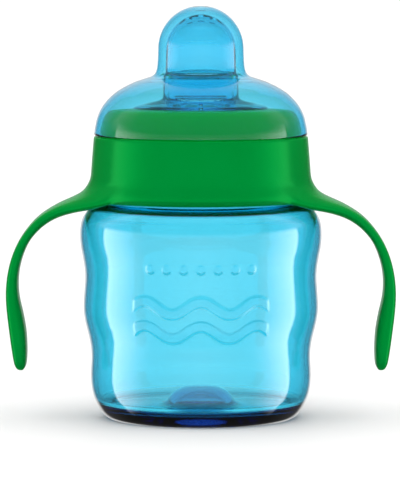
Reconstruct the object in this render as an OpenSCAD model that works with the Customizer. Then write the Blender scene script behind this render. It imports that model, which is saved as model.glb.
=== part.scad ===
// Toddler drinking cup: a waisted clear cup, a removable two-handle collar, a screw ring
// that clamps a hard spout and its gasket, a soft spill valve and a domed push-on cap.
// Millimetres. The cup stands on z = 0 around the Z axis and the handles point along X.

/* [Cup] */
// Wall thickness of the cup body
cup_wall = 1.7; // [1.3:0.1:2.1]
// Thickness of the cup floor
floor_thick = 2.2; // [1.6:0.2:2.8]
// Height of the dome pushed up into the middle of the base
punt_height = 6.8; // [5:0.2:8]

/* [Screw thread] */
// Rise of the thread in one turn
thread_lead = 6; // [5:0.5:7]
// Radial height of each thread ridge
thread_height = 0.9; // [0.7:0.1:1]
// Turns of thread on the neck
thread_turns = 1.3; // [1:0.1:1.4]

/* [Handles] */
// Depth of each handle arm, front to back
arm_depth = 15; // [13:1:16]

/* [Spout and valve] */
// Wall thickness of the hard spout
spout_wall = 1.4; // [1.2:0.1:1.6]
// Depth of the drinking tip, front to back
tip_depth = 13; // [12:0.5:15]
// Radius of each drinking hole
hole_r = 0.9; // [0.6:0.1:1.2]
// Length of each valve slit
slit_length = 7; // [4:1:10]

/* [Cap] */
// Wall thickness of the cap
cap_wall = 1.2; // [1:0.1:1.4]

/* [Hidden] */
$fn = 96;
eps = 0.01;
gap = 0.3;

// cup body, outside, from the foot ring to the root of the neck
cup_line = [
    [28.4, 0], [29.6, 0.7], [30.5, 1.6], [31.2, 2.6], [31.9, 3.9], [32.5, 5.1], [33, 6.4],
    [33.5, 7.9], [33.85, 9.8], [34.02, 12.2], [34.02, 14.4], [33.86, 17], [33.82, 19.4],
    [33.98, 21.8], [34.3, 23.7], [34.8, 26], [35.45, 28.7], [35.98, 31.2], [36.24, 33.6],
    [36.25, 35.4], [36.1, 38], [35.86, 41.2], [35.73, 44], [36, 47.2], [36.45, 49.8],
    [36.94, 52.3], [37.24, 54.7], [37.31, 56.7], [37.2, 58.8], [36.8, 60.9], [36.25, 62.2],
    [35.5, 63.4], [34.6, 64.6], [33.5, 65.7], [32.1, 66.7], [30.5, 67.3], [29.2, 67.6]];
neck_r = 28.6;
neck_bore_r = neck_r - 1.8;
rim_z = 90.2;
foot_inner_r = 25.2;
recess_z = 1.6;

// the same line pushed inward by the wall, for the inside of the cup
side_first = 7;
side_last = 31;
inner_side = [for (i = [side_first:side_last]) [cup_line[i][0] - cup_wall, cup_line[i][1]]];
floor_z = recess_z + floor_thick;
punt_top = recess_z + punt_height;

// thread ridges: half heights at the root and at the crest
ridge_root = 1.15;
ridge_crest = 0.55;
ring_bore_r = 29.85;
thread_z = 80;
ring_thread_z = thread_z - 2.15;
ring_thread_lag = -60;

// screw ring
ring_r = 31.2;
ring_low_z = 70.6;
ring_open_r = 21.2;
plate_low_z = 94.2;

// collar
collar_top_z = 87;
collar_bore_r = 31.6;
shelf_low_z = 68;
shelf_top_z = 70.3;
// stations along one arm from the collar wall to the tip:
// outer x, outer z, inner x, inner z, half depth on a 15 mm arm
arm_stations = [
    [32.6, 76.6, 32.6, 65.3, 24.5], [34, 75.4, 34.4, 64.9, 24], [34.7, 72.7, 35.6, 64.65, 22.8],
    [35.4, 71.5, 36.6, 64.4, 21.5], [36.4, 70.2, 37.6, 64.2, 19.8], [38.2, 69, 39, 63.85, 17.4],
    [41.1, 67.7, 40.8, 63.3, 14.4], [43.8, 66.5, 42.6, 62.65, 12.2], [46.1, 65.2, 44.6, 61.85, 10.6],
    [48.2, 63.9, 46.6, 60.75, 9.5], [50.4, 62.2, 48.5, 59.4, 8.7], [52.05, 60.6, 50, 58.1, 8.2],
    [54.6, 57.5, 52, 55.9, 7.8], [56.5, 54.4, 53.5, 53.6, 7.6], [57.9, 51.3, 54.75, 50.6, 7.5],
    [58.95, 48.2, 55.6, 47.9, 7.5], [59.65, 45.1, 56.2, 45, 7.5], [60.1, 42, 56.45, 42, 7.5],
    [60.3, 38.9, 56.35, 38.9, 7.5], [60.25, 35.8, 55.9, 36, 7.5], [60, 32.7, 55.1, 32.9, 7.7],
    [59.65, 29.6, 54.5, 29.8, 8], [59.25, 26.5, 54, 26.7, 8.2], [58.85, 23.4, 53.8, 23.6, 8.2],
    [58.4, 20.3, 53.7, 20.6, 8], [57.9, 17.2, 53.85, 17.4, 7.4], [57.5, 16.1, 54.1, 16, 6.8],
    [56.9, 15.2, 54.6, 15.1, 5.8], [56.1, 14.65, 55.2, 14.62, 4]];
arm_wrap_from = 47;
arm_wrap_over = 11;

// spout
flange_r = 28.3;
flange_low_z = 92.2;
flange_top_z = 93.9;
tip_r = 10.85;
tip_z = 113.6;
base_half_w = 11.6;
base_half_d = 9;
base_top_z = 105.6;
socket_r = 10;
socket_low_z = 84.4;
vent_r = 0.6;

// valve
valve_r = socket_r - 0.08;
valve_wall = 1.5;
membrane_z = 89.6;
slit_w = 0.3;

// cap, outside, from the rim up to the tower
cap_line = [
    [32.9, 87.3], [32.8, 88.6], [32.5, 90.1], [32.25, 91.4], [32, 92.5], [31.6, 93.8],
    [31, 95], [30.3, 96.3], [29.4, 97.5], [28.3, 98.8], [27, 100], [25.4, 101.2],
    [23.25, 102.5], [20.7, 103.7], [17.1, 104.9], [15, 105.7], [14, 106.6], [13.5, 107.8]];
tower_r = 13.15;
tower_z = 114;

// A ridge swept along a helix about Z, running from inside the wall out to the crest.
// Both ends fade out so the ridge leads in gently.
module helix_ridge(root_r, crest_r, start_z, lead, turns, start_angle) {
    per_turn = 60;
    n = round(per_turn * turns);
    fade_steps = 6;
    crest_at = function (i) let (
        fade = min(1, min(i, n - i) / fade_steps)
    ) root_r + (crest_r - root_r) * (0.2 + 0.8 * fade);
    ring_at = function (i) let (
        a = start_angle + 360 * i / per_turn,
        z = start_z + lead * i / per_turn,
        c = crest_at(i)
    ) [
        [root_r * cos(a), root_r * sin(a), z - ridge_root],
        [c * cos(a), c * sin(a), z - ridge_crest],
        [c * cos(a), c * sin(a), z + ridge_crest],
        [root_r * cos(a), root_r * sin(a), z + ridge_root]];
    points = [for (i = [0:n]) each ring_at(i)];
    // an outward ridge and an inward ridge wind their faces in opposite order
    side = [for (i = [0:n - 1]) for (k = [0:3])
        let (p = 4 * i + k, q = 4 * i + (k + 1) % 4)
            each [[p, q, q + 4], [p, q + 4, p + 4]]];
    ends = [[3, 2, 1, 0], [4 * n, 4 * n + 1, 4 * n + 2, 4 * n + 3]];
    faces = concat(side, ends);
    out = crest_r > root_r;
    polyhedron(points, out ? faces : [for (f = faces) [for (k = [len(f) - 1:-1:0]) f[k]]]);
}

// A flat shape drawn in x and z, given a depth along y
module along_y(depth) {
    rotate([90, 0, 0])
        linear_extrude(height = depth, center = true)
            children();
}

// A flat shape drawn in y and z, given a width along x
module along_x(width) {
    rotate([90, 0, 90])
        linear_extrude(height = width, center = true)
            children();
}

// A racetrack outline, wider along x than y
module racetrack(half_w, half_d) {
    square([2 * (half_w - half_d), 2 * half_d], center = true);
    for (s = [-1, 1])
        translate([s * (half_w - half_d), 0])
            circle(r = half_d);
}

module cup_profile() {
    outside = concat(cup_line, [[neck_r, 68.3], [neck_r, rim_z - 0.5], [neck_r - 0.5, rim_z]]);
    inside = concat(
        [[neck_bore_r + 0.5, rim_z], [neck_bore_r, rim_z - 0.5], [neck_bore_r, 67.2]],
        [[27.6, 66], [29.8, 65.5], [31.5, 64.7], [32.8, 63.7]],
        [for (i = [len(inner_side) - 2:-1:0]) inner_side[i]],
        [[31.2, 6.4], [30.2, 5.1], [28.8, floor_z + 0.3], [27.4, floor_z]],
        [[13.2, floor_z], [12, floor_z + 0.5], [11.2, floor_z + 1.8], [10.2, punt_top + 0.2],
         [8.2, punt_top + 1.4], [4.5, punt_top + 2], [0, punt_top + 2.1]]);
    under = [
        [0, punt_top], [3.6, punt_top - 0.2], [6.8, punt_top - 0.9], [8.5, punt_top - 2.2],
        [9.5, recess_z + 1.4], [10.4, recess_z + 0.3], [11.4, recess_z],
        [foot_inner_r - 0.9, recess_z], [foot_inner_r, 0]];
    polygon(concat(outside, inside, under));
}

module cup_body() {
    color([0.45, 0.8, 0.92, 0.5])
        union() {
            rotate_extrude()
                cup_profile();
            helix_ridge(neck_r - 0.5, neck_r + thread_height, thread_z, thread_lead,
                thread_turns, 0);
        }
}

// Everything the cup shoulder needs kept clear under the collar
module shoulder_clearance() {
    rotate_extrude()
        polygon(concat(
            [[0, 40]],
            [for (i = [21:len(cup_line) - 1]) [cup_line[i][0] + gap, cup_line[i][1] + gap]],
            [[neck_r + gap, 68], [0, 68]]));
}

module collar_profile() {
    polygon([
        [collar_bore_r, collar_top_z], [collar_bore_r, shelf_top_z + 0.3],
        [collar_bore_r - 0.3, shelf_top_z], [neck_r + 0.4, shelf_top_z],
        [neck_r + 0.4, shelf_low_z], [33.6, shelf_low_z], [34.5, 68.3], [34.9, 68.9],
        [34.8, 69.8], [34.4, 71.3], [34.15, 72.8], [33.95, 75], [33.8, 78], [33.55, 81],
        [33.3, 83.8], [33.12, 86.2], [33.05, 86.7], [32.8, collar_top_z]]);
}

// A rounded-box section, as far out as the power sets it square
function rounded(v) = sign(v) * pow(abs(v), 0.72);

// One arm, skinned through its stations. Near the collar each section is bent round the
// collar wall, so the root follows it.
module arm() {
    around = 24;
    last = len(arm_stations) - 1;
    depth_scale = arm_depth / 15;
    bend = function (x, y) min(1, max(0, (arm_wrap_from - x) / arm_wrap_over))
        * (34 - sqrt(34 * 34 - y * y));
    point_at = function (s, u, v) let (
        y = v * s[4] * depth_scale,
        x = (s[0] + s[2]) / 2 + u * (s[0] - s[2]) / 2,
        z = (s[1] + s[3]) / 2 + u * (s[1] - s[3]) / 2
    ) [x - bend(x, y), y, z];
    skin = [for (s = arm_stations) for (k = [0:around - 1])
        let (a = 360 * k / around) point_at(s, rounded(sin(a)), rounded(cos(a)))];
    middles = [for (i = [0, last]) point_at(arm_stations[i], 0, 0)];
    side = [for (i = [0:last - 1]) for (k = [0:around - 1])
        let (p = around * i + k, q = around * i + (k + 1) % around)
            each [[p, q + around, q], [p, p + around, q + around]]];
    m = len(skin);
    ends = [for (k = [0:around - 1]) let (n = (k + 1) % around)
        each [[m, k, n], [m + 1, around * last + n, around * last + k]]];
    polyhedron(concat(skin, middles), concat(side, ends));
}

module handle_ring() {
    color([0.02, 0.62, 0.25])
        difference() {
            union() {
                rotate_extrude()
                    collar_profile();
                for (turn = [0, 180])
                    rotate([0, 0, turn])
                        arm();
            }
            cylinder_at(collar_bore_r, shelf_top_z + 0.3, 100);
            cylinder_at(collar_bore_r - 0.3, shelf_top_z, shelf_top_z + 1);
            cylinder_at(neck_r + 0.4, 0, 100);
            shoulder_clearance();
        }
}

module screw_ring() {
    color([0.02, 0.58, 0.22])
        union() {
            rotate_extrude()
                polygon([
                    [ring_bore_r + 0.5, ring_low_z], [ring_r - 0.3, ring_low_z],
                    [ring_r, ring_low_z + 0.3], [ring_r, 87.3], [31, 88.7], [30.7, 90.3],
                    [30.3, 91.9], [29.8, 93.3], [29, 94.4], [27.9, 95.1], [25, 95.6],
                    [ring_open_r + 0.5, 95.9],
                    [ring_open_r, 95.5], [ring_open_r, plate_low_z], [28.6, plate_low_z],
                    [29.1, 93.2], [29.4, 91.6], [ring_bore_r, 90], [ring_bore_r, ring_low_z + 0.5]]);
            helix_ridge(ring_bore_r + 0.6, ring_bore_r - thread_height, ring_thread_z
                + thread_lead * ring_thread_lag / 360, thread_lead, thread_turns, ring_thread_lag);
        }
}

// The drinking tip in front view: a round arch on a straight body
module arch(r, low_z) {
    translate([0, tip_z])
        circle(r = r);
    translate([-r, low_z])
        square([2 * r, tip_z - low_z]);
}

// The drinking tip in side view: it narrows to a blunt lip. inset thins it for the inside.
module tip_side(inset, low_z) {
    d = tip_depth / 2 - inset;
    polygon([
        [-d, low_z], [-d, 108.5], [-d + 0.3, 113], [-d + 1, 117], [-d + 2, 120.5],
        [-d + 3.2 + inset / 4, 124.6], [d - 3.2 - inset / 4, 124.6], [d - 2, 120.5],
        [d - 1, 117], [d - 0.3, 113], [d, 108.5], [d, low_z]]);
}

module tip(inset, low_z) {
    intersection() {
        along_y(40)
            arch(tip_r - inset, low_z);
        along_x(40)
            tip_side(inset, low_z);
        translate([0, 0, low_z])
            linear_extrude(height = 30)
                racetrack(tip_r - inset, tip_depth / 2 - inset);
    }
}

module spout() {
    w = spout_wall;
    color([0.25, 0.68, 0.88, 0.6])
        difference() {
            union() {
                rotate_extrude()
                    polygon([
                        [0, flange_low_z], [flange_r - 0.3, flange_low_z], [flange_r, flange_low_z + 0.3],
                        [flange_r, flange_top_z - 0.3], [flange_r - 0.3, flange_top_z], [20.8, flange_top_z],
                        [20.8, 96], [20.3, 96.6], [13, 98.4], [0, 98.4]]);
                cylinder_at(socket_r + w, socket_low_z, flange_low_z + 1);
                translate([0, 0, 97])
                    linear_extrude(height = base_top_z - 97)
                        racetrack(base_half_w, base_half_d);
                tip(0, base_top_z - 1);
            }
            // hollow under the raised cone, around the valve socket
            rotate_extrude()
                polygon([
                    [socket_r + w, flange_low_z - eps], [19.4, flange_low_z - eps], [19.4, 95.2],
                    [socket_r + w + 0.8, 96.9], [socket_r + w, 96.9]]);
            cylinder_at(socket_r, socket_low_z - eps, 93.6);
            cylinder_at(socket_r - 1.4, 93.5, 97);
            translate([0, 0, 96.9])
                linear_extrude(height = base_top_z - w - 96.9)
                    racetrack(base_half_w - w, base_half_d - w);
            tip(w, base_top_z - w - 1);
            for (x = [-3.6, 0, 3.6])
                translate([x, 0, 115])
                    cylinder(r = hole_r, h = 12, $fn = 32);
            translate([0, -16, 90])
                cylinder(r = vent_r, h = 10, $fn = 24);
        }
}

// A plain upright cylinder between two heights
module cylinder_at(r, low_z, high_z) {
    translate([0, 0, low_z])
        cylinder(r = r, h = high_z - low_z);
}

module seal_ring() {
    color([0.93, 0.94, 0.94])
        rotate_extrude()
            polygon([
                [26.2, rim_z + gap], [28, rim_z + gap], [28.2, rim_z + gap + 0.2],
                [28.2, flange_low_z - 0.2], [28, flange_low_z], [26.2, flange_low_z],
                [26, flange_low_z - 0.2], [26, rim_z + gap + 0.2]]);
}

module valve() {
    in_r = valve_r - valve_wall;
    color([0.96, 0.97, 0.97])
        difference() {
            union() {
                rotate_extrude()
                    polygon([
                        [0, membrane_z], [5, membrane_z - 0.4], [in_r, membrane_z - 2],
                        [in_r, 82.8], [in_r + 0.4, 82.4], [12.2, 82.4], [12.6, 82.8], [12.6, 83.7],
                        [12.3, 84.1], [valve_r, 84.1], [valve_r, 92.4], [valve_r - 0.5, 93.1],
                        [in_r + 0.2, 93.1], [in_r, 92.7], [in_r, membrane_z + 0.2],
                        [5, membrane_z + 0.6], [0, membrane_z + 0.9]]);
                // two lugs to pinch when pulling the valve out
                for (s = [-1, 1])
                    translate([s * 12, 0, 82.4])
                        cylinder(r = 3, h = 1.7, $fn = 48);
            }
            cylinder_at(in_r, 80, 82.8);
            for (a = [0, 90])
                rotate([0, 0, a])
                    translate([-slit_length / 2, -slit_w / 2, 85])
                        cube([slit_length, slit_w, 8]);
        }
}

module cap_shell(inset) {
    low = inset > 0 ? -eps : 0;
    rise = [for (p = cap_line) [p[0] - inset, p[1] + (p[1] == 87.3 ? low : -inset * 0.55)]];
    r = tower_r - inset;
    rotate_extrude()
        polygon(concat(
            [[0, 87.3 + low]], rise,
            [for (a = [0:7.5:82.5]) [r * cos(a), tower_z + r * sin(a)]],
            [[0, tower_z + r]]));
}

module cap() {
    color([0.55, 0.86, 0.95, 0.45])
        difference() {
            cap_shell(0);
            cap_shell(cap_wall);
            // shallow moulding mark on the crown
            translate([0, 0, tower_z + tower_r - 0.35])
                cylinder(r = 1.7, h = 2, $fn = 32);
        }
}

cup_body();
handle_ring();
screw_ring();
spout();
seal_ring();
valve();
cap();
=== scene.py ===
"""Toddler drinking cup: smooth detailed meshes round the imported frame, with materials, camera and light."""

import math

import bmesh
import bpy
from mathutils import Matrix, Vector


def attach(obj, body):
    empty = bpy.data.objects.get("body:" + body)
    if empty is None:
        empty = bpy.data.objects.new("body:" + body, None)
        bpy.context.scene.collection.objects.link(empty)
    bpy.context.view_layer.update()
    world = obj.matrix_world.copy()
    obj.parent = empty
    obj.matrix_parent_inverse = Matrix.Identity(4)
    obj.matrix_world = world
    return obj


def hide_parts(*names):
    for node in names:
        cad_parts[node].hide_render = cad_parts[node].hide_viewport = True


MM = 0.001
TURN = 2 * math.pi

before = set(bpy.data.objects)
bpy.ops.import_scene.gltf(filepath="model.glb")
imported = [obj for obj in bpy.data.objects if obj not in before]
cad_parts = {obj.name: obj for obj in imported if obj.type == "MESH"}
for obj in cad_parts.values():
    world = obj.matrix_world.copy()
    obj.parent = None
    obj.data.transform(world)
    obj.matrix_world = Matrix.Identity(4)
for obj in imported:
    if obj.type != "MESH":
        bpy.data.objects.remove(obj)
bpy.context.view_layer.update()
scene = bpy.context.scene


# ---------------------------------------------------------------- shape helpers


def lerp(a, b, t):
    return a + (b - a) * t


def ease(t):
    t = min(1.0, max(0.0, t))
    return t * t * (3 - 2 * t)


def smooth_line(points, steps=4):
    """A smooth curve through the points, with this many pieces between each pair."""
    pts = [Vector(p) for p in points]
    pts = [2 * pts[0] - pts[1]] + pts + [2 * pts[-1] - pts[-2]]
    out = []
    for i in range(1, len(pts) - 2):
        p0, p1, p2, p3 = pts[i - 1 : i + 3]
        t0 = 0.0
        t1 = t0 + max(1e-6, (p1 - p0).length) ** 0.5
        t2 = t1 + max(1e-6, (p2 - p1).length) ** 0.5
        t3 = t2 + max(1e-6, (p3 - p2).length) ** 0.5
        for k in range(steps):
            t = lerp(t1, t2, k / steps)
            a1 = p0 * ((t1 - t) / (t1 - t0)) + p1 * ((t - t0) / (t1 - t0))
            a2 = p1 * ((t2 - t) / (t2 - t1)) + p2 * ((t - t1) / (t2 - t1))
            a3 = p2 * ((t3 - t) / (t3 - t2)) + p3 * ((t - t2) / (t3 - t2))
            b1 = a1 * ((t2 - t) / (t2 - t0)) + a2 * ((t - t0) / (t2 - t0))
            b2 = a2 * ((t3 - t) / (t3 - t1)) + a3 * ((t - t1) / (t3 - t1))
            out.append(tuple(b1 * ((t2 - t) / (t2 - t1)) + b2 * ((t - t1) / (t2 - t1))))
    out.append(tuple(points[-1]))
    return out


def round_corners(points, radius=0.3, steps=4, closed=False):
    """The line with each corner turned by a small arc. A point may give its own radius third."""
    out = []
    n = len(points)
    for i, p in enumerate(points):
        here = Vector(p[:2])
        r = p[2] if len(p) > 2 else radius
        if (not closed and i in (0, n - 1)) or r <= 0:
            out.append(tuple(here))
            continue
        before = Vector(points[i - 1][:2]) - here
        after = Vector(points[(i + 1) % n][:2]) - here
        reach = min(r, before.length * 0.45, after.length * 0.45)
        a = here + before.normalized() * reach
        b = here + after.normalized() * reach
        for k in range(steps + 1):
            t = k / steps
            out.append(tuple(a * (1 - t) ** 2 + here * 2 * t * (1 - t) + b * t * t))
    return out


def dense(points, step):
    """The same line with no piece longer than the step."""
    out = []
    for a, b in zip(points, points[1:]):
        count = max(1, math.ceil(math.dist(a, b) / step))
        out += [(lerp(a[0], b[0], k / count), lerp(a[1], b[1], k / count)) for k in range(count)]
    return out + [points[-1]]


def new_piece(name, verts, faces, body, nodes):
    mesh = bpy.data.meshes.new(name)
    mesh.from_pydata([[c * MM for c in v] for v in verts], [], faces)
    mesh.validate()
    work = bmesh.new()
    work.from_mesh(mesh)
    bmesh.ops.remove_doubles(work, verts=work.verts, dist=1e-7)
    bmesh.ops.recalc_face_normals(work, faces=work.faces)
    work.to_mesh(mesh)
    work.free()
    mesh.shade_smooth()
    piece = bpy.data.objects.new(name, mesh)
    scene.collection.objects.link(piece)
    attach(piece, body)
    if nodes:
        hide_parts(*nodes)
    return piece


def skin(rings, closed):
    """Vertices and faces over rings of equal length. A ring of one point is a pole."""
    verts, starts = [], []
    for ring in rings:
        starts.append(len(verts))
        verts += ring
    faces = []
    pairs = list(zip(range(len(rings)), range(1, len(rings))))
    if closed:
        pairs.append((len(rings) - 1, 0))
    for i, j in pairs:
        a, b, na, nb = starts[i], starts[j], len(rings[i]), len(rings[j])
        for k in range(max(na, nb)):
            m = (k + 1) % max(na, nb)
            if na == 1:
                faces.append((a, b + m, b + k))
            elif nb == 1:
                faces.append((a + k, a + m, b))
            else:
                faces.append((a + k, a + m, b + m, b + k))
    return verts, faces


def lathe_rings(line, angles, push=None):
    rings = []
    for i, (r, z) in enumerate(line):
        if r < 1e-4:
            rings.append([(0.0, 0.0, z)])
            continue
        ring = []
        for a in angles:
            rr = r + (push(i, r, z, a) if push else 0.0)
            ring.append((rr * math.cos(a), rr * math.sin(a), z))
        rings.append(ring)
    return rings


def even_angles(count):
    return [TURN * k / count for k in range(count)]


# ---------------------------------------------------------------- thread

LEAD = 6.0
THREAD_TURNS = 1.3
THREAD_Z = 80.0
THREAD_HEIGHT = 0.9
RING_THREAD_Z = THREAD_Z - 2.15
RING_THREAD_LAG = math.radians(-60)


def thread_bump(z, angle, base_z, lag):
    """0 to 1: how far the helical ridge stands up here."""
    best = 0.0
    for turn in (-1, 0, 1, 2):
        along = (angle - lag) % TURN + turn * TURN
        if not 0 <= along <= THREAD_TURNS * TURN:
            continue
        centre = base_z + LEAD * (lag + along) / TURN
        off = abs(z - centre)
        rise = min(1.0, max(0.0, (1.1 - off) / 0.55))
        ends = min(1.0, along / 0.5, (THREAD_TURNS * TURN - along) / 0.5)
        best = max(best, ease(rise) * ease(ends))
    return best


# ---------------------------------------------------------------- cup body

CUP_WALL = 1.7
NECK_R = 28.6
NECK_BORE_R = 26.8
RIM_Z = 90.2
cup_side = smooth_line(
    [
        (28.4, 0.0), (29.7, 0.75), (30.8, 2.0), (31.75, 3.6), (32.6, 5.4), (33.3, 7.3),
        (33.8, 9.7), (34.03, 12.4), (34.0, 15.0), (33.85, 18.0), (33.92, 21.0), (34.4, 24.2),
        (35.12, 27.2), (35.82, 30.2), (36.22, 33.2), (36.22, 36.0), (35.98, 39.6), (35.74, 43.4),
        (35.92, 46.4), (36.45, 49.8), (37.0, 52.8), (37.29, 55.8), (37.22, 58.6), (36.82, 60.9),
        (36.2, 62.4), (35.4, 63.6), (34.5, 64.7), (33.4, 65.7), (32.0, 66.6), (30.5, 67.2),
        (29.3, 67.7), (28.75, 68.5), (NECK_R, 69.6),
    ],
    12,
)
# the fine steps are kept only where the raised marks are
cup_side = [p for i, p in enumerate(cup_side) if 22 < p[1] < 54 or i % 3 == 0]


def inward(line, wall):
    """The line moved square to itself, towards the axis."""
    out = []
    for i, p in enumerate(line):
        a, b = Vector(line[max(0, i - 1)]), Vector(line[min(len(line) - 1, i + 1)])
        along = (b - a).normalized()
        out.append((p[0] - along.y * wall, p[1] + along.x * wall))
    return out


def cup_line():
    under = smooth_line(
        [(0, 7.4), (3.0, 7.2), (5.4, 6.5), (7.1, 5.3), (8.3, 3.7), (9.2, 2.3), (10.2, 1.7), (11.6, 1.6)], 4)
    foot = round_corners([(11.6, 1.6), (24.0, 1.6, 0.4), (25.1, 0.0, 0.5), (28.4, 0.0)], 0.4)[1:-1]
    neck = dense([(NECK_R, 69.6), (NECK_R, 78.5)], 2.0) + dense([(NECK_R, 78.5), (NECK_R, 89.4)], 0.3)[1:]
    rim = round_corners(
        [(NECK_R, 89.4), (NECK_R, RIM_Z), (NECK_BORE_R, RIM_Z), (NECK_BORE_R, 89.4)], 0.75, 5)[1:]
    inner_neck = dense([(NECK_BORE_R, 89.4), (NECK_BORE_R, 70.0)], 3.0)[1:]
    wall = [p for p in inward(cup_side, CUP_WALL) if 6.0 < p[1] < 62.6][::2]
    shoulder = smooth_line([(NECK_BORE_R, 70.0), (27.0, 68.0), (27.9, 66.5), (29.6, 65.6), (31.4, 64.9),
                            (33.0, 63.9), wall[-1]], 4)[1:-1]
    floor = smooth_line([wall[0], (31.0, 5.4), (29.9, 4.4), (28.2, 3.9), (26.0, 3.8)], 4)[1:]
    dome = smooth_line(
        [(13.8, 3.8), (12.0, 4.0), (10.8, 4.8), (9.7, 6.3), (8.2, 7.9), (6.0, 9.0), (3.2, 9.55), (0, 9.65)],
        4)
    return under + foot + cup_side + neck[1:] + rim + inner_neck + shoulder + wall[::-1] + floor + dome


MARK_HEIGHT = 0.3
DOT_Z = 48.6
DOT_PITCH = 5.2
WAVE_HEIGHTS = (37.0, 29.6)
WAVE_SWING = 1.9
WAVE_LENGTH = 17.6
WAVE_REACH = 22.0
MARK_R = 36.0


def wave_mark(across, z):
    """0 to 1: the raised marks moulded on the front, a row of dots over two plain waves."""
    best = 0.0
    for k in range(-3, 4):
        best = max(best, ease((1.7 - math.dist((across, z), (k * DOT_PITCH, DOT_Z))) / 0.7))
    if abs(across) >= WAVE_REACH:
        return best
    turned = across * TURN / WAVE_LENGTH
    slope = WAVE_SWING * TURN / WAVE_LENGTH * math.sin(turned)
    end = ease((WAVE_REACH - abs(across)) / 1.2)
    for centre in WAVE_HEIGHTS:
        path = centre + WAVE_SWING * math.cos(turned)
        off = abs(z - path) / math.sqrt(1 + slope * slope)
        best = max(best, ease((1.9 - off) / 0.8) * end)
    return best


def build_cup():
    line = cup_line()
    outer = next(i for i, p in enumerate(line) if p[0] > 26 and p[1] > 0.3)
    rim = max(range(len(line)), key=lambda i: line[i][1])
    # the columns are closer together across the front, where the marks are
    front = [math.radians(225 + 90 * k / 150) for k in range(150)]
    rest = [math.radians(315 + 270 * k / 110) for k in range(110)]
    angles = front + rest

    def push(i, r, z, a):
        if outer <= i < rim and z > 78.5:
            return THREAD_HEIGHT * thread_bump(z, a, THREAD_Z, 0.0)
        if outer <= i < rim and 20 < z < 54:
            turned = (a - math.radians(270) + math.pi) % TURN - math.pi
            if abs(turned) < math.radians(44):
                return MARK_HEIGHT * wave_mark(turned * MARK_R, z)
        return 0.0

    verts, faces = skin(lathe_rings(line, angles, push), False)
    return new_piece("cup_shell", verts, faces, "cup", ["cup_body"])


# ---------------------------------------------------------------- collar with two arms

# outer x, outer z, inner x, inner z, half depth
ARM = [
    (34.7, 72.7, 35.6, 64.65, 22.8), (35.4, 71.5, 36.6, 64.4, 21.5), (36.4, 70.2, 37.6, 64.2, 19.8),
    (38.2, 69, 39, 63.85, 17.4), (41.1, 67.7, 40.8, 63.3, 14.4), (43.8, 66.5, 42.6, 62.65, 12.2),
    (46.1, 65.2, 44.6, 61.85, 10.6), (48.2, 63.9, 46.6, 60.75, 9.5), (50.4, 62.2, 48.5, 59.4, 8.7),
    (52.05, 60.6, 50, 58.1, 8.2), (54.6, 57.5, 52, 55.9, 7.8), (56.5, 54.4, 53.5, 53.6, 7.6),
    (57.9, 51.3, 54.75, 50.6, 7.5), (58.95, 48.2, 55.6, 47.9, 7.5), (59.65, 45.1, 56.2, 45, 7.5),
    (60.1, 42, 56.45, 42, 7.5), (60.3, 38.9, 56.35, 38.9, 7.5), (60.25, 35.8, 55.9, 36, 7.5),
    (60, 32.7, 55.1, 32.9, 7.7), (59.65, 29.6, 54.5, 29.8, 8), (59.25, 26.5, 54, 26.7, 8.2),
    (58.85, 23.4, 53.8, 23.6, 8.2), (58.4, 20.3, 53.7, 20.6, 8), (57.9, 17.2, 53.85, 17.4, 7.4),
    (57.5, 16.0, 54.1, 15.9, 6.6), (56.9, 15.1, 54.7, 15.0, 5.2),
]
COLUMNS = 64
PATCH = 8
COLLAR_R = 34.0
# The rows of the cage from the top rim down the bore, out under the skirt and up the wall: radius and
# height at the front, and again at the arms where they differ.
COLLAR_ROWS = [
    (33.0, 87.0), (32.0, 87.0), (31.6, 86.6), (31.6, 80), (31.6, 72.6), (31.5, 71.0), (30.9, 70.3),
    (29.6, 70.3), (29.05, 70.1), (29.05, 68.5), (29.3, 68.15), (31.4, 67.5), (33.3, 67.0, 33.0, 66.7),
    (34.3, 68.3, 34.2, 65.15), (34.85, 68.8, 35.0, 65.05), (34.8, 69.9, 34.9, 68.2),
    (34.3, 72.4), (34.08, 74.2), (33.9, 76.2), (33.6, 80.5), (33.2, 85.2), (33.1, 86.5),
]
# an arm leaves the wall between these two rows
ARM_LOW = 14
ARM_HIGH = 17


def signed_power(v, p):
    return math.copysign(abs(v) ** p, v)


def collar_dip(a):
    """1 where an arm leaves, 0 at the front and back: how far the lower edge has dipped."""
    side = math.asin(min(1.0, abs(math.sin(a))))
    return 1 - ease((side - math.radians(4)) / math.radians(52))


def add(verts, points):
    """Adds the points, and gives back their numbers."""
    first = len(verts)
    verts += points
    return list(range(first, len(verts)))


def band(faces, a, b):
    """Joins two closed loops of the same length."""
    for k in range(len(a)):
        m = (k + 1) % len(a)
        faces.append((a[k], a[m], b[m], b[k]))


def collar_row(row):
    r, z = row[:2]
    arm_r, arm_z = row[2:] or row
    points = []
    for a in even_angles(COLUMNS):
        here = lerp(r, arm_r, collar_dip(a))
        points.append((here * math.cos(a), here * math.sin(a), lerp(z, arm_z, collar_dip(a))))
    return points


def build_wall(faces, rings):
    """The faces between the rows, all but the two patches that the arms grow from."""
    half_turn = COLUMNS / 2
    for i in range(len(rings)):
        j = (i + 1) % len(rings)
        for k in range(COLUMNS):
            m = (k + 1) % COLUMNS
            along = (k + 0.5) % half_turn
            if ARM_LOW <= i < ARM_HIGH and min(along, half_turn - along) < PATCH:
                continue
            faces.append((rings[i][k], rings[j][k], rings[j][m], rings[i][m]))


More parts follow.
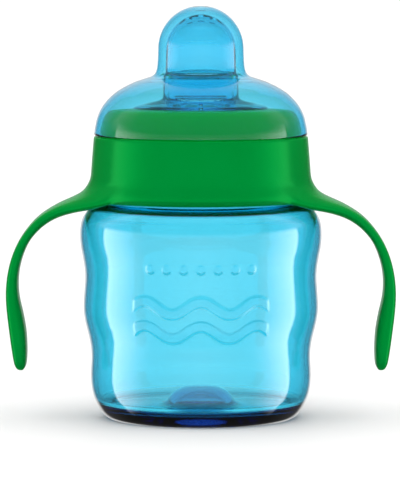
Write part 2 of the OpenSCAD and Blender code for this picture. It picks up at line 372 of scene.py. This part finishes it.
def arm_loop(rings, first):
    """The edge of a patch, and the place of each of its points on a square from -1 to 1."""
    span = range(-PATCH, PATCH + 1)
    sides = range(ARM_LOW + 1, ARM_HIGH)
    edge = [(ARM_LOW, column) for column in span]
    edge += [(row, PATCH) for row in sides]
    edge += [(ARM_HIGH, column) for column in reversed(span)]
    edge += [(row, -PATCH) for row in reversed(sides)]
    loop = [rings[row][(first + column) % COLUMNS] for row, column in edge]
    spots = [(column / PATCH, -1 + 2 * (row - ARM_LOW) / (ARM_HIGH - ARM_LOW)) for row, column in edge]
    return loop, spots


def arm_section(number, spots, sign):
    """One cross-section of an arm: an ellipse at the root that turns into a rounded bar."""
    outer_x, outer_z, inner_x, inner_z, depth = ARM[number]
    mid_x, mid_z = (outer_x + inner_x) / 2, (outer_z + inner_z) / 2
    power = lerp(1.0, 0.62, ease(number / 9))
    # close to the collar the section is bent round it
    bend = min(1.0, max(0.0, (47 - mid_x) / 11))
    points = []
    for across, up in spots:
        a = math.atan2(up, across)
        y = signed_power(math.cos(a), power) * depth
        out = signed_power(math.sin(a), power)
        x = mid_x + out * (outer_x - inner_x) / 2 - bend * (COLLAR_R - math.sqrt(COLLAR_R**2 - y * y))
        z = mid_z + out * (outer_z - inner_z) / 2
        points.append((sign * x, sign * y, z))
    return points


def close_tip(verts, faces, last):
    count = len(last)
    cx, cy, cz = (sum(verts[i][c] for i in last) / count for c in range(3))
    points = []
    for x, y, z in [verts[i] for i in last]:
        points.append((lerp(x, cx, 0.45), lerp(y, cy, 0.45), lerp(z, cz, 0.45) - 0.42))
    inner = add(verts, points)
    band(faces, last, inner)
    tip = add(verts, [(cx, cy, cz - 0.5)])[0]
    faces += [(inner[k], inner[(k + 1) % count], tip) for k in range(count)]


def build_collar():
    """A subdivision cage: the wall is a ring of columns, and each arm grows from a patch in it."""
    verts, faces = [], []
    rings = [add(verts, collar_row(row)) for row in COLLAR_ROWS]
    build_wall(faces, rings)
    for sign, first in ((1, 0), (-1, COLUMNS // 2)):
        before, spots = arm_loop(rings, first)
        for number in range(len(ARM)):
            current = add(verts, arm_section(number, spots, sign))
            band(faces, before, current)
            before = current
        close_tip(verts, faces, before)
    collar = new_piece("handle_collar", verts, faces, "collar", ["handle_ring"])
    subdivide = collar.modifiers.new("Smooth", "SUBSURF")
    subdivide.levels = subdivide.render_levels = 2
    return collar


# ---------------------------------------------------------------- screw ring

RING_BORE_R = 29.85


def build_screw_ring():
    outside = round_corners(
        [(30.4, 70.6), (31.2, 70.6, 0.3), (31.2, 86.6, 1.0), (31.05, 88.4, 1.2), (30.7, 90.3, 1.5),
         (30.25, 92.0, 1.2), (29.6, 93.5, 1.2), (28.7, 94.6, 1.2), (27.4, 95.25, 1.2), (25.0, 95.6, 1.5),
         (21.3, 95.8, 0.4), (21.2, 94.2, 0.3), (28.6, 94.2, 0.6), (29.1, 93.0, 0.6), (29.5, 91.4, 0.6),
         (RING_BORE_R, 90.0)],
        0.4, 4)
    bore = dense([(RING_BORE_R, 90.0), (RING_BORE_R, 71.4)], 0.3)[1:]
    foot = round_corners([(RING_BORE_R, 71.4), (RING_BORE_R, 70.6, 0.3), (30.4, 70.6)], 0.3)[1:-1]
    line = outside + bore + foot
    start = len(outside)

    def push(i, r, z, a):
        if i < start:
            return 0.0
        return -THREAD_HEIGHT * thread_bump(z, a, RING_THREAD_Z, RING_THREAD_LAG)

    verts, faces = skin(lathe_rings(line, even_angles(168), push), True)
    return new_piece("screw_ring_shell", verts, faces, "ring", ["screw_ring"])


# ---------------------------------------------------------------- spout

TIP_R = 10.85
TIP_Z = 113.6
SPOUT_WALL = 1.4


def oval(z, a, b, power, count=120):
    out = []
    for k in range(count):
        t = TURN * k / count
        out.append((a * signed_power(math.cos(t), 2 / power), b * signed_power(math.sin(t), 2 / power), z))
    return out


def tip_half_depth(z, inset):
    depth = lerp(6.5, 5.6, ease((z - 106) / 10)) if z < 116 else lerp(5.6, 4.0, ease((z - 116) / 9) ** 0.8)
    top = TIP_Z + TIP_R - inset
    over = 2.6 - (top - z)
    if over > 0:
        depth -= 2.6 * (1 - math.sqrt(max(0.0, 1 - (over / 2.6) ** 2)))
    return depth - inset


def tip_rings(inset, from_z):
    r = TIP_R - inset
    rings = []
    for k in range(8):
        z = lerp(from_z, TIP_Z, k / 8)
        rings.append(oval(z, r, tip_half_depth(z, inset), 2.5))
    for k in range(25):
        a = math.radians(87.5 * ease(k / 24) ** 0.8 if k else 0)
        z = TIP_Z + r * math.sin(a)
        rings.append(oval(z, r * math.cos(a), max(0.2, tip_half_depth(z, inset)), lerp(2.5, 2.1, k / 24)))
    rings.append([(0.0, 0.0, TIP_Z + r)])
    return rings


def build_spout():
    wall = SPOUT_WALL
    base = [(z, a, b) for z, a, b in (
        (98.6, 12.6, 10.4), (99.2, 11.9, 9.4), (100.4, 11.65, 9.05), (104.4, 11.55, 8.9),
        (105.4, 11.35, 8.5),
        (105.95, 11.05, 7.6), (106.2, 10.9, 6.9), (106.7, 10.86, 6.55))]
    flange = round_corners(
        [(10.0, 84.4), (11.4, 84.4, 0.3), (11.4, 96.6, 0.8), (12.4, 96.9, 0.5), (19.2, 95.2, 0.8),
         (19.3, 92.2, 0.4), (28.3, 92.2, 0.3), (28.3, 93.9, 0.3), (20.8, 93.9, 0.3), (20.8, 96.0, 0.4),
         (20.1, 96.6, 0.5), (13.4, 98.25)], 0.4, 4)
    inner_bore = round_corners([(8.6, 97.2), (8.6, 93.6, 0.2), (10.0, 93.6, 0.2), (10.0, 84.4, 0.25),
                                (10.7, 84.4)], 0.25, 3)
    rings = tip_rings(wall, base[-1][0] - wall + 0.4)[::-1]
    # the channel stays narrow down to the socket, so the spout's foot is thick
    rings += [oval(z, TIP_R - wall, 5.1, 2.4) for z in (104.4, 102.6, 100.2, 98.9)]
    rings += [oval(98.1, 9.45, 6.4, 2.3)]
    rings += [oval(97.6, 9.4, 7.93, 2.2), oval(97.2, 8.6, 8.6, 2.2)]
    rings += [oval(z, r, r, 2.0) for r, z in inner_bore[1:-1]]
    rings += [oval(z, r, r, 2.0) for r, z in flange[1:]]
    rings += [oval(z, a, b, 2.4) for z, a, b in base]
    rings += tip_rings(0, base[-1][0] + 0.4)
    verts, faces = skin(rings, False)
    piece = new_piece("spout_shell", verts, faces, "lid", ["spout"])
    drinking_holes = [cutter(x, 0.0, 118.0, 127.0, 0.9) for x in (-3.6, 0.0, 3.6)]
    vent = cutter(0.0, -16.0, 90.0, 100.0, 0.6)
    cut(piece, drinking_holes + [vent])
    return piece


def cutter(x, y, low, high, r):
    rings = [[(x + r * math.cos(a), y + r * math.sin(a), z) for a in even_angles(24)] for z in (low, high)]
    rings = [[(x, y, low)]] + rings + [[(x, y, high)]]
    verts, faces = skin(rings, False)
    mesh = bpy.data.meshes.new("cutter")
    mesh.from_pydata([[c * MM for c in v] for v in verts], [], faces)
    tool = bpy.data.objects.new("cutter", mesh)
    scene.collection.objects.link(tool)
    work = bmesh.new()
    work.from_mesh(mesh)
    bmesh.ops.recalc_face_normals(work, faces=work.faces)
    work.to_mesh(mesh)
    work.free()
    return tool


def cut(piece, tools):
    """Cuts the tools out of the piece for good, and removes them."""
    for tool in tools:
        step = piece.modifiers.new("Cut", "BOOLEAN")
        step.operation = "DIFFERENCE"
        step.solver = "EXACT"
        step.object = tool
    bpy.context.view_layer.update()
    graph = bpy.context.evaluated_depsgraph_get()
    result = bpy.data.meshes.new_from_object(piece.evaluated_get(graph))
    piece.modifiers.clear()
    piece.data = result
    result.shade_smooth()
    result.set_sharp_from_angle(angle=math.radians(40))
    for tool in tools:
        bpy.data.objects.remove(tool)


# ---------------------------------------------------------------- valve, gasket and cap


def build_valve():
    line = round_corners(
        [(0, 89.6), (4.6, 89.3, 0.5), (8.42, 87.7, 0.6), (8.42, 82.8, 0.3), (8.9, 82.4, 0.3),
         (12.5, 82.4, 0.5), (12.5, 84.1, 0.5), (9.92, 84.1, 0.3), (9.92, 92.5, 0.3), (9.4, 93.1, 0.3),
         (8.6, 93.1, 0.3),
         (8.42, 92.6, 0.3), (8.42, 89.4, 0.5), (4.8, 90.2, 0.5), (0, 90.5)], 0.3, 4)

    def push(i, r, z, a):
        if r > 10.1 and z < 84.3:
            return 2.4 * max(0.0, math.cos(a) ** 2 - 0.93) / 0.07 * ease((r - 10.1) / 2.0)
        return 0.0

    verts, faces = skin(lathe_rings(line, even_angles(144), push), False)
    piece = new_piece("valve_soft", verts, faces, "valve", ["valve"])
    slits = []
    for turned in (0, 90):
        slit = cutter(0.0, 0.0, 86.0, 92.0, 1.0)
        for v in slit.data.vertices:
            x, y = v.co.x * 3.5, v.co.y * 0.16
            v.co.x, v.co.y = (x, y) if turned == 0 else (-y, x)
        slits.append(slit)
    cut(piece, slits)
    return piece


def build_gasket():
    line = round_corners(
        [(26.0, 90.5, 0.4), (27.1, 90.5, 0.0), (27.1, 90.7, 0.0), (28.2, 90.5, 0.4), (28.2, 92.18, 0.4),
         (26.0, 92.18, 0.4)], 0.4, 5, closed=True)
    verts, faces = skin(lathe_rings(line, even_angles(144)), True)
    return new_piece("gasket_soft", verts, faces, "lid", ["seal_ring"])


CAP_WALL = 1.2
TOWER_R = 13.15
TOWER_Z = 114.0


def build_cap():
    side = smooth_line(
        [(32.86, 87.9), (32.68, 89.3), (32.4, 90.8), (32.0, 92.5), (31.3, 94.4), (30.2, 96.4),
         (28.6, 98.4), (26.3, 100.5), (23.2, 102.4), (19.8, 103.95), (16.9, 104.9), (15.1, 105.55),
         (14.1, 106.4), (13.62, 107.6), (13.38, 109.2), (13.25, 111.2), (TOWER_R, TOWER_Z)], 5)
    crown = [(TOWER_R * math.cos(a), TOWER_Z + TOWER_R * math.sin(a))
             for a in (math.radians(4 * k) for k in range(1, 20))]
    top = TOWER_Z + TOWER_R
    # a shallow moulding mark on the crown
    mark = [(1.75, top - 0.12), (1.62, top - 0.17), (1.5, top - 0.3), (0, top - 0.3)]
    outer = [(32.35, 87.3), (32.72, 87.36), (32.86, 87.6)] + side + crown + mark
    inner_side = inward([p for p in side if p[1] > 88.4], CAP_WALL)
    inner_r = TOWER_R - CAP_WALL
    inner_crown = [(inner_r * math.cos(a), TOWER_Z + inner_r * math.sin(a))
                   for a in (math.radians(4 * k) for k in range(1, 23))]
    inside = [(32.35, 87.3), (31.85, 87.33), (31.66, 87.6), (31.62, 88.2)] + inner_side + inner_crown
    inside.append((0, TOWER_Z + inner_r))
    line = inside[::-1] + outer[1:]
    verts, faces = skin(lathe_rings(line, even_angles(192)), False)
    return new_piece("cap_shell", verts, faces, "cap", ["cap"])


# ---------------------------------------------------------------- materials


def principled(name):
    material = bpy.data.materials.new(name)
    material.use_nodes = True
    tree = material.node_tree
    return material, tree, tree.nodes["Principled BSDF"]


def surface_detail(tree, shader, scale, rough_low, rough_high, bump):
    """Slight cloudiness and moulding ripple: roughness and bump from noise."""
    where = tree.nodes.new("ShaderNodeTexCoord")
    noise = tree.nodes.new("ShaderNodeTexNoise")
    noise.inputs["Scale"].default_value = scale
    noise.inputs["Detail"].default_value = 3.0
    spread = tree.nodes.new("ShaderNodeMapRange")
    spread.inputs["To Min"].default_value = rough_low
    spread.inputs["To Max"].default_value = rough_high
    relief = tree.nodes.new("ShaderNodeBump")
    relief.inputs["Strength"].default_value = bump
    relief.inputs["Distance"].default_value = 0.0002
    tree.links.new(where.outputs["Object"], noise.inputs["Vector"])
    tree.links.new(noise.outputs["Fac"], spread.inputs["Value"])
    tree.links.new(spread.outputs["Result"], shader.inputs["Roughness"])
    tree.links.new(noise.outputs["Fac"], relief.inputs["Height"])
    tree.links.new(relief.outputs["Normal"], shader.inputs["Normal"])
    return noise


def tint(tree, noise, shader, dark, light):
    """Colour that drifts a little between two close shades."""
    mix = tree.nodes.new("ShaderNodeMix")
    mix.data_type = "RGBA"
    mix.inputs["A"].default_value = (*dark, 1)
    mix.inputs["B"].default_value = (*light, 1)
    tree.links.new(noise.outputs["Fac"], mix.inputs["Factor"])
    tree.links.new(mix.outputs["Result"], shader.inputs["Base Color"])


def clear_plastic(name, tone_dark, tone_light, absorb, density, coat=0.0):
    material, tree, shader = principled(name)
    shader.inputs["Transmission Weight"].default_value = 1.0
    shader.inputs["IOR"].default_value = 1.49
    shader.inputs["Coat Weight"].default_value = coat
    shader.inputs["Coat Roughness"].default_value = 0.02
    noise = surface_detail(tree, shader, 45.0, 0.015, 0.04, 0.02)
    tint(tree, noise, shader, tone_dark, tone_light)
    volume = tree.nodes.new("ShaderNodeVolumeAbsorption")
    volume.inputs["Color"].default_value = (*absorb, 1)
    volume.inputs["Density"].default_value = density
    tree.links.new(volume.outputs["Volume"], tree.nodes["Material Output"].inputs["Volume"])
    return material


def solid_plastic(name, tone_dark, tone_light):
    """Opaque plastic. A little metal and tinted gloss keep its highlights green."""
    material, tree, shader = principled(name)
    shader.inputs["IOR"].default_value = 1.45
    shader.inputs["Metallic"].default_value = 0.22
    shader.inputs["Specular IOR Level"].default_value = 0.05
    shader.inputs["Specular Tint"].default_value = (0.05, 1.0, 0.45, 1)
    shader.inputs["Subsurface Weight"].default_value = 0.12
    shader.inputs["Subsurface Radius"].default_value = (0.2, 1.0, 0.35)
    shader.inputs["Subsurface Scale"].default_value = 0.0015
    noise = surface_detail(tree, shader, 90.0, 0.2, 0.27, 0.05)
    tint(tree, noise, shader, tone_dark, tone_light)
    return material


def silicone(name):
    material, tree, shader = principled(name)
    shader.inputs["Transmission Weight"].default_value = 0.35
    shader.inputs["IOR"].default_value = 1.41
    shader.inputs["Subsurface Weight"].default_value = 0.4
    shader.inputs["Subsurface Radius"].default_value = (1.0, 1.0, 1.0)
    shader.inputs["Subsurface Scale"].default_value = 0.002
    noise = surface_detail(tree, shader, 120.0, 0.35, 0.5, 0.1)
    tint(tree, noise, shader, (0.82, 0.85, 0.86), (0.92, 0.94, 0.94))
    return material


# ---------------------------------------------------------------- build

cup = build_cup()
collar = build_collar()
ring = build_screw_ring()
spout = build_spout()
valve = build_valve()
gasket = build_gasket()
cap = build_cap()

# these two let soft light through to the ring under them
for clear in (spout, cap):
    clear.visible_diffuse = False
cup.data.materials.append(
    clear_plastic("cup_blue_clear", (0.93, 0.98, 1.0), (0.97, 1.0, 1.0), (0.033, 0.84, 0.943), 760.0, 1.0))
spout.data.materials.append(
    clear_plastic("spout_blue_clear", (0.93, 0.98, 1.0), (0.97, 1.0, 1.0), (0.05, 0.83, 0.96), 380.0))
cap.data.materials.append(
    clear_plastic("cap_pale_clear", (0.95, 0.99, 1.0), (0.98, 1.0, 1.0), (0.05, 0.81, 0.95), 780.0))
collar.data.materials.append(solid_plastic("collar_green", (0.0, 0.225, 0.03), (0.0, 0.245, 0.036)))
# The ring is the same green plastic as the collar. Its colour is painted a little lighter to stand in for the
# light that the cap over it takes away.
ring.data.materials.append(solid_plastic("ring_green", (0.0, 0.245, 0.02), (0.0, 0.265, 0.024)))
soft = silicone("white_silicone")
valve.data.materials.append(soft)
gasket.data.materials.append(soft)

# ---------------------------------------------------------------- floor, light and camera

FLOOR_R = 6.0
floor_mesh = bpy.data.meshes.new("floor")
floor_edge = [(FLOOR_R * math.cos(a), FLOOR_R * math.sin(a), 0) for a in even_angles(96)]
floor_mesh.from_pydata(floor_edge, [], [tuple(range(96))])
floor = bpy.data.objects.new("floor", floor_mesh)
scene.collection.objects.link(floor)
floor_material, _, floor_shader = principled("floor_white")
floor_shader.inputs["Base Color"].default_value = (0.68, 0.675, 0.67, 1)
floor_shader.inputs["Roughness"].default_value = 0.6
floor_shader.inputs["Specular IOR Level"].default_value = 0.1
floor_mesh.materials.append(floor_material)
floor.visible_glossy = False


# The studio, as a brightness for each angle round from its front (-Y) to the backdrop. Reflections see a
# plain card in front, a bright panel on each side, dark room beyond it and the backdrop, in LOW_PANELS,
# and above them HIGH_PANELS, which is dim in front. CEILING is soft light, close to the horizon.
LOW_PANELS = [(0, 0.9), (40, 0.7), (56, 0.75), (70, 1.4), (84, 2.5), (104, 3.6), (107.5, 0.12), (150, 0.08),
              (157, 0.15), (163, 0.7), (180, 0.7)]
HIGH_PANELS = [(0, 0.08), (80, 0.2), (110, 0.8), (118, 0.25), (150, 0.25), (180, 1.1)]
CEILING = [(0, 0.85), (60, 0.85), (120, 0.95), (180, 1.0)]
world = bpy.data.worlds.new("studio")
scene.world = world
world.use_nodes = True
world.cycles.sampling_method = "NONE"
nodes, links = world.node_tree.nodes, world.node_tree.links


def math_node(kind, *values):
    node = nodes.new("ShaderNodeMath")
    node.operation = kind
    for number, value in enumerate(values):
        if isinstance(value, (int, float)):
            node.inputs[number].default_value = value
        else:
            links.new(value, node.inputs[number])
    return node.outputs["Value"]


def read_off(angle, table, top):
    """A brightness for each angle in degrees, read off the table."""
    first, last = table[0][0], table[-1][0]
    past = math_node("SUBTRACT", angle, math.radians(first))
    share = math_node("DIVIDE", past, math.radians(last - first))
    shade = nodes.new("ShaderNodeFloatCurve")
    curve = shade.mapping.curves[0]
    for number, (degrees, level) in enumerate(table):
        spot = ((degrees - first) / (last - first), level / top)
        if number < 2:
            curve.points[number].location = spot
        else:
            curve.points.new(*spot)
    for point in curve.points:
        point.handle_type = "VECTOR"
    shade.mapping.update()
    links.new(share, shade.inputs["Value"])
    return math_node("MULTIPLY", shade.outputs["Value"], top)


def blend(factor, a, b):
    mix = nodes.new("ShaderNodeMix")
    for name, value in (("Factor", factor), ("A", a), ("B", b)):
        if isinstance(value, (int, float)):
            mix.inputs[name].default_value = value
        else:
            links.new(value, mix.inputs[name])
    return mix.outputs["Result"]


def smooth_step(source, low, high):
    spread = nodes.new("ShaderNodeMapRange")
    spread.inputs["From Min"].default_value = low
    spread.inputs["From Max"].default_value = high
    spread.interpolation_type = "SMOOTHSTEP"
    links.new(source, spread.inputs["Value"])
    return spread.outputs["Result"]


SEEN_THROUGH = 1.05
SEEN_THROUGH_ABOVE = 0.9
ZENITH = 2.2
BACKDROP = 1.08

split = nodes.new("ShaderNodeSeparateXYZ")
links.new(nodes.new("ShaderNodeTexCoord").outputs["Generated"], split.inputs["Vector"])
x, y, z = (split.outputs[name] for name in "XYZ")
round_angle = math_node("ARCTAN2", math_node("ABSOLUTE", x), math_node("MULTIPLY", y, -1))
mirror_view = blend(
    smooth_step(z, 0.09, 0.26), read_off(round_angle, LOW_PANELS, 5), read_off(round_angle, HIGH_PANELS, 2))
mirror_view = blend(smooth_step(z, 0.75, 0.95), mirror_view, 0.35)
mirror_view = blend(smooth_step(z, -0.72, -0.46), 0.06, mirror_view)
clear_view = blend(smooth_step(z, 0.12, 0.3), SEEN_THROUGH, SEEN_THROUGH_ABOVE)
soft_view = blend(smooth_step(z, 0.1, 0.9), read_off(round_angle, CEILING, 2), ZENITH)
path = nodes.new("ShaderNodeLightPath")
softened = math_node("GREATER_THAN", path.outputs["Diffuse Depth"], 0.5)
level = blend(path.outputs["Is Transmission Ray"], mirror_view, clear_view)
level = blend(math_node("MAXIMUM", softened, path.outputs["Is Diffuse Ray"]), level, soft_view)
level = blend(path.outputs["Is Camera Ray"], level, BACKDROP)
background = nodes["Background"]
background.inputs["Color"].default_value = (1, 1, 1, 1)
links.new(level, background.inputs["Strength"])

CAMERA_DISTANCE = 1.177
CAMERA_PITCH = math.radians(4.64)
AIM = Vector((-0.00027, 0.0, 0.0518))
# what the picture's height spans at that distance
VIEW_HEIGHT = 0.155 / 1.003
camera_data = bpy.data.cameras.new("camera")
camera_data.sensor_width = 36.0
camera_data.lens = camera_data.sensor_width * CAMERA_DISTANCE / VIEW_HEIGHT
camera_data.clip_start, camera_data.clip_end = 0.05, 50.0
camera = bpy.data.objects.new("camera", camera_data)
back = Vector((0.0, -math.cos(CAMERA_PITCH), math.sin(CAMERA_PITCH)))
camera.location = AIM + back * CAMERA_DISTANCE
camera.rotation_euler = (-back).to_track_quat("-Z", "Y").to_euler()
scene.collection.objects.link(camera)
scene.camera = camera

scene.view_settings.view_transform = "Standard"
scene.view_settings.look = "None"
scene.cycles.max_bounces = 24
scene.cycles.transmission_bounces = 20
scene.cycles.transparent_max_bounces = 16
scene.cycles.use_denoising = True
